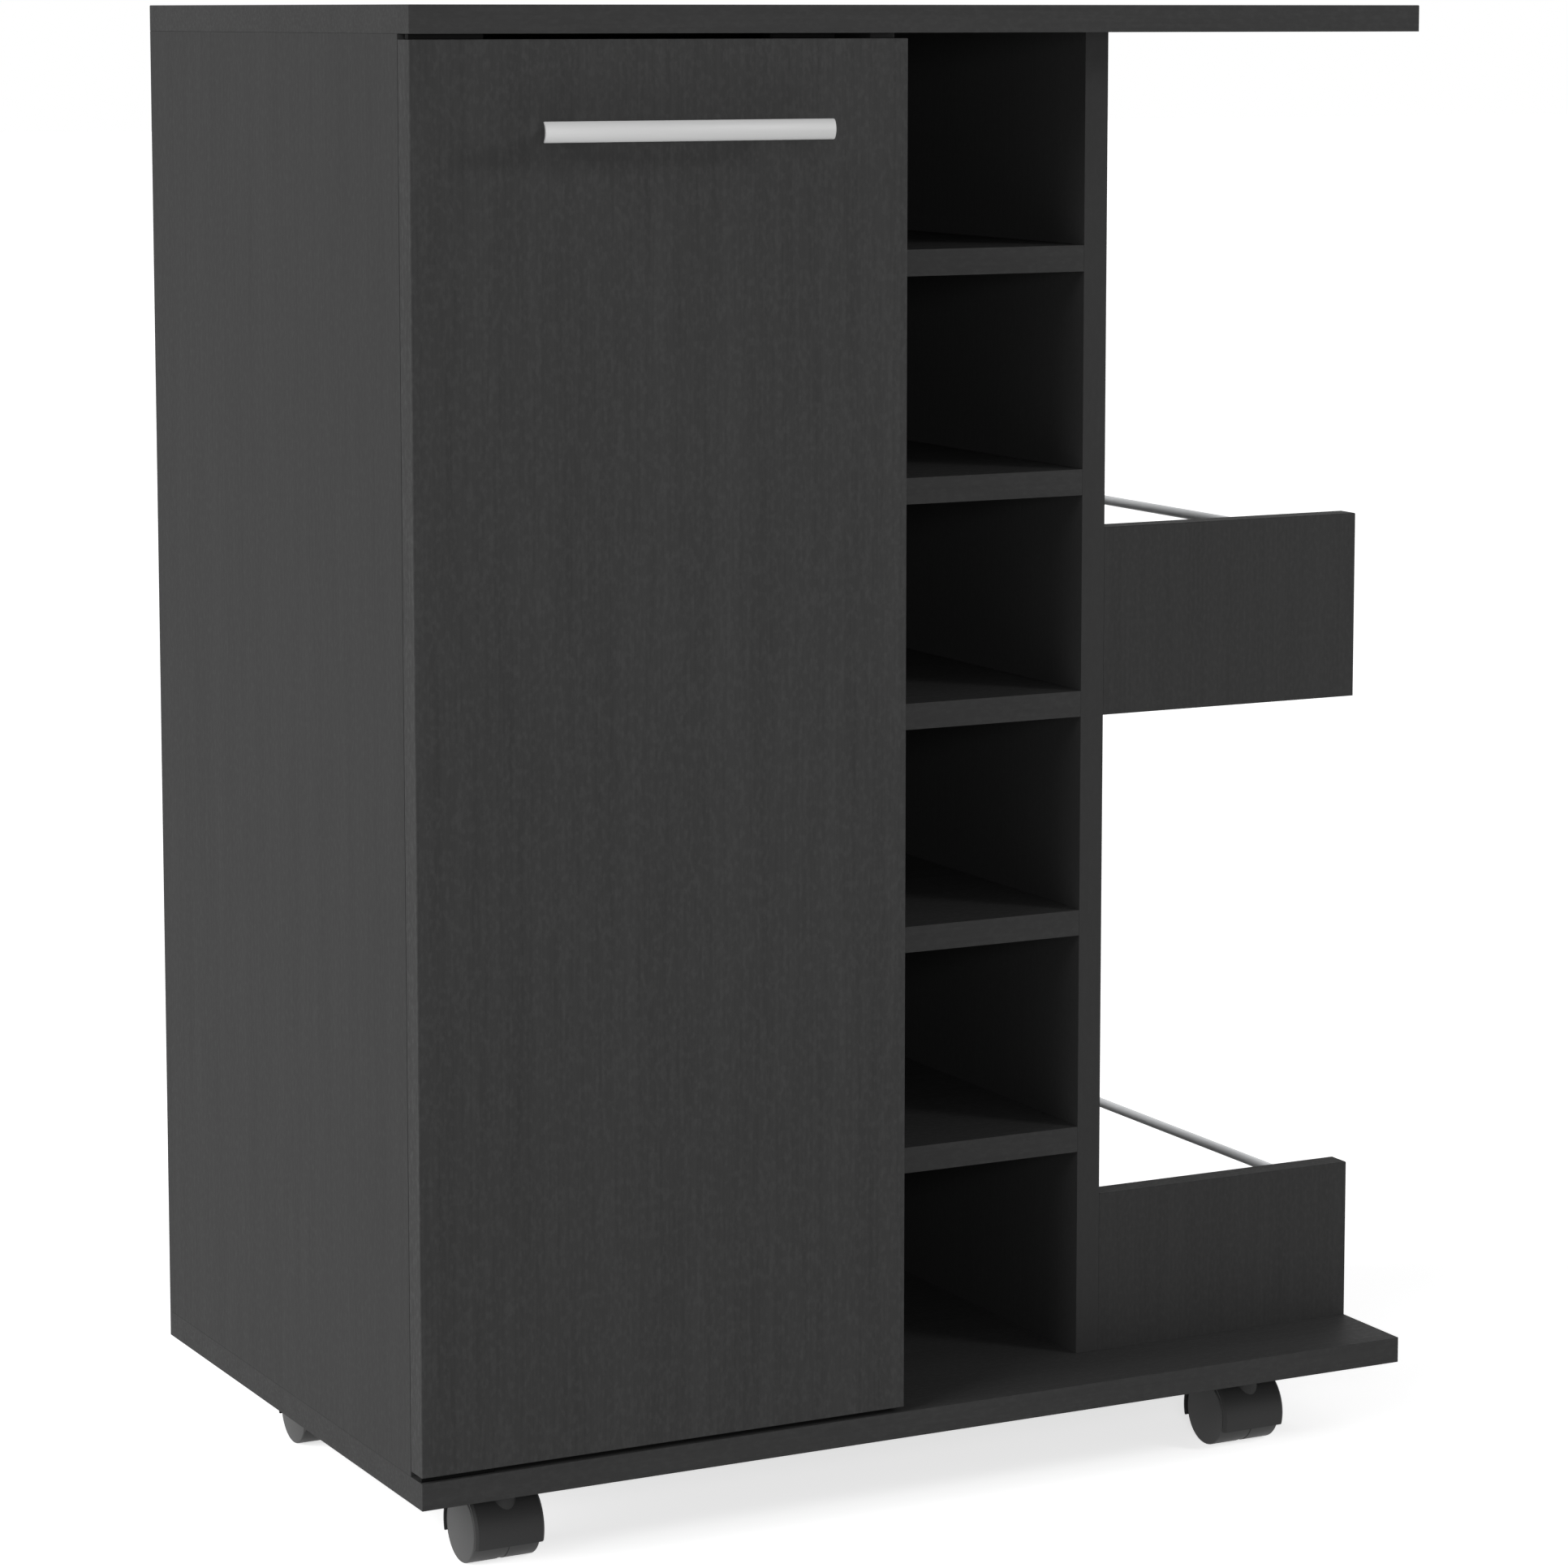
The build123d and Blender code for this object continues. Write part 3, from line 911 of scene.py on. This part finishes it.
    def hinges(self):
        """Hinge leaves with eased edges, and the flat screws in them."""
        for node, body in (("hinge_cabinet_leaves", "carcass"), ("hinge_door_leaves", "door")):
            leaves = eased_copy(node, f"{node}_plate", self.leaf_edge)
            # The near-black leaves match the shade in the door's gaps: partly painted shade
            dress(leaves, finishes["black_steel"], body, "black_steel", node)
        screws = []
        door_low, door_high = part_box("door_panel")
        leaf_low, leaf_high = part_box("hinge_door_leaves")
        height = self.leaf_screw_sunk + self.proud
        for face, facing in ((door_high.z, UP), (door_low.z, DOWN)):
            for along in self.leaf_screw_places:
                place = Vector((leaf_low.x + along, (leaf_low.y + leaf_high.y) / 2, face))
                start = place - facing * self.leaf_screw_sunk
                head = add_drum("screw", start, facing, self.leaf_screw_radius, height, PIN_ROUND)
                top = start + facing * height
                self.crossed(head, top, facing, self.leaf_screw_radius, self.leaf_slot_depth)
                screws.append(head)
        dress(joined(screws, "hinge_leaf_screws"), finishes["black_steel"], "door", "black_steel")

    def catch(self):
        """A moulded catch with two steel poles, and the steel plate that they hold."""
        case = eased_copy("magnetic_catch", "catch_case", self.case_edge)
        # The near-black catch matches the shade in the door's gap: partly painted shade
        dress(case, finishes["black_plastic"], "carcass", "catch_plastic", "magnetic_catch")
        low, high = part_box("magnetic_catch")
        centre = (low + high) / 2
        poles = []
        for z in (centre.z - self.pole_offset, centre.z + self.pole_offset):
            pole = add_block(
                "pole",
                (centre.x - self.pole_length / 2, low.y - self.proud, z - self.pole_thickness / 2),
                (centre.x + self.pole_length / 2, low.y + self.pole_seat, z + self.pole_thickness / 2),
            )
            round_edges(pole, on_plane("Y", low.y - self.proud), self.pole_edge, 1)
            poles.append(pole)
        # The near-black poles match the shade in the door's gap: partly painted shade
        dress(joined(poles, "catch_poles"), finishes["black_steel"], "carcass", "black_steel")
        plate = eased_copy("catch_plate", "catch_plate_strip", self.plate_edge)
        dress(plate, finishes["black_steel"], "door", "black_steel", "catch_plate")

    def execute(self, context):
        self.cams()
        self.pins()
        self.handle_screws()
        self.hinges()
        self.catch()
        paint("cam_bolts", finishes["zinc"])
        paint("wood_dowels", finishes["beech"])
        return {"FINISHED"}


class CART_OT_stage(bpy.types.Operator):
    """Makes the floor, the light and the camera"""

    bl_idname = "cart.stage"
    bl_label = "Stage"

    floor_size = 60.0
    floor_colour = "#F2F2F2"
    floor_glow = 0.7
    world_colour = "#FFFFFF"
    ambient = 0.22
    camera_place = (-1.2776, -2.4744, 0.8436)
    # Tilted down from level and turned to the right, in degrees
    camera_turn = (90 - 6.95, 0.0, -27.243)
    camera_sensor = 36.0
    camera_lens = 110.2
    camera_shift = (-0.0003, -0.1192)
    camera_reach = 200.0
    # The sun's bearing from the front towards the left, its height and its spread, in degrees
    sun_bearing = 80
    sun_height = 28
    sun_spread = 40
    sun_strength = 2.45
    # One soft box stands close to the camera's line, so that its light reaches into the cubbies
    soft_boxes = (
        ("front_soft_box", (-1.1, -2.6, 0.9), 14.3),
        ("right_soft_box", (1.5, -1.8, 1.5), 12.3),
    )
    box_target = (0.0, -0.15, 0.45)
    box_size = 0.5

    def execute(self, context):
        context.scene.view_settings.view_transform = "Standard"
        self.floor()
        self.world(context.scene)
        self.lights(context)
        self.camera(context)
        return {"FINISHED"}

    def lights(self, context):
        """A wide sun from the left, and soft boxes in front and on the right."""
        bearing, height = math.radians(self.sun_bearing), math.radians(self.sun_height)
        source = Vector(
            (-math.sin(bearing) * math.cos(height), -math.cos(bearing) * math.cos(height), math.sin(height))
        )
        deselect_all()
        bpy.ops.object.light_add(type="SUN", rotation=source.to_track_quat("Z", "Y").to_euler())
        sun = context.active_object
        sun.name = "left_sun"
        sun.data.energy = self.sun_strength
        sun.data.angle = math.radians(self.sun_spread)
        for name, place, power in self.soft_boxes:
            towards = Vector(place) - Vector(self.box_target)
            bpy.ops.object.light_add(
                type="AREA", location=place, rotation=towards.to_track_quat("Z", "Y").to_euler()
            )
            box = context.active_object
            box.name = name
            box.data.shape = "DISK"
            box.data.size = self.box_size
            box.data.energy = power

    def camera(self, context):
        """The camera, as fitted to the photograph."""
        bpy.ops.object.camera_add(
            location=self.camera_place, rotation=[math.radians(angle) for angle in self.camera_turn]
        )
        camera = context.active_object
        camera.data.sensor_width = self.camera_sensor
        camera.data.lens = self.camera_lens
        camera.data.shift_x, camera.data.shift_y = self.camera_shift
        camera.data.clip_end = self.camera_reach
        context.scene.camera = camera

    def seen(self, tree):
        """1 for the rays that show the background: those of camera, gloss and glass."""
        path = add_node(tree, "ShaderNodeLightPath")
        total = path.outputs["Is Camera Ray"]
        for kind in ("Is Glossy Ray", "Is Transmission Ray"):
            larger = add_node(tree, "ShaderNodeMath", {0: total, 1: path.outputs[kind]}, operation="MAXIMUM")
            total = larger.outputs["Value"]
        return total

    def floor(self):
        """A white floor that keeps the cart's shadow."""
        deselect_all()
        bpy.ops.mesh.primitive_plane_add(size=self.floor_size)
        floor = settle("studio_floor")
        material, tree = new_material("white_floor")
        paint_shader = add_node(tree, "ShaderNodeBsdfDiffuse", {"Color": linear(self.floor_colour)})
        glow = add_node(tree, "ShaderNodeEmission", {"Strength": self.floor_glow})
        lit = add_node(
            tree, "ShaderNodeAddShader", {0: paint_shader.outputs["BSDF"], 1: glow.outputs["Emission"]}
        )
        chosen = add_node(
            tree,
            "ShaderNodeMixShader",
            {"Fac": self.seen(tree), 1: paint_shader.outputs["BSDF"], 2: lit.outputs["Shader"]},
        )
        add_node(tree, "ShaderNodeOutputMaterial", {"Surface": chosen.outputs["Shader"]})
        floor.data.materials.append(material)

    def world(self, scene):
        """Soft grey light from all round, seen as white."""
        scene.world = bpy.data.worlds.new("white_studio")
        scene.world.use_nodes = True
        tree = scene.world.node_tree
        tree.nodes.clear()
        strength = add_node(tree, "ShaderNodeMix", {"Factor": self.seen(tree), "A": self.ambient, "B": 1.0})
        light = add_node(
            tree,
            "ShaderNodeBackground",
            {"Color": linear(self.world_colour), "Strength": strength.outputs["Result"]},
        )
        add_node(tree, "ShaderNodeOutputWorld", {"Surface": light.outputs["Background"]})


OPERATORS = (
    CART_OT_finishes,
    CART_OT_boards,
    CART_OT_back,
    CART_OT_door,
    CART_OT_handle,
    CART_OT_rails,
    CART_OT_casters,
    CART_OT_fittings,
    CART_OT_stage,
)


class CART_PT_panel(bpy.types.Panel):
    """Lists the cart's settings and steps"""

    bl_label = "Kitchen Island Cart"
    bl_idname = "CART_PT_panel"
    bl_space_type = "VIEW_3D"
    bl_region_type = "UI"
    bl_category = "Cart"

    def draw(self, context):
        for group in (context.scene.cart_finish, context.scene.cart_detail):
            for name in group.__annotations__:
                self.layout.prop(group, name)
        for operator in OPERATORS:
            self.layout.operator(operator.bl_idname)


CLASSES = (CartFinish, CartDetail, *OPERATORS, CART_PT_panel)


def register():
    for cls in CLASSES:
        bpy.utils.register_class(cls)
    bpy.types.Scene.cart_finish = bpy.props.PointerProperty(type=CartFinish)
    bpy.types.Scene.cart_detail = bpy.props.PointerProperty(type=CartDetail)


def unregister():
    del bpy.types.Scene.cart_finish
    del bpy.types.Scene.cart_detail
    for cls in reversed(CLASSES):
        bpy.utils.unregister_class(cls)


def main():
    """Makes the whole cart and its stage."""
    register()
    bpy.ops.cart.finishes()
    bpy.ops.cart.boards()
    bpy.ops.cart.back()
    bpy.ops.cart.door()
    bpy.ops.cart.handle()
    bpy.ops.cart.rails()
    bpy.ops.cart.casters()
    bpy.ops.cart.fittings()
    bpy.ops.cart.stage()


if __name__ == "__main__":
    main()
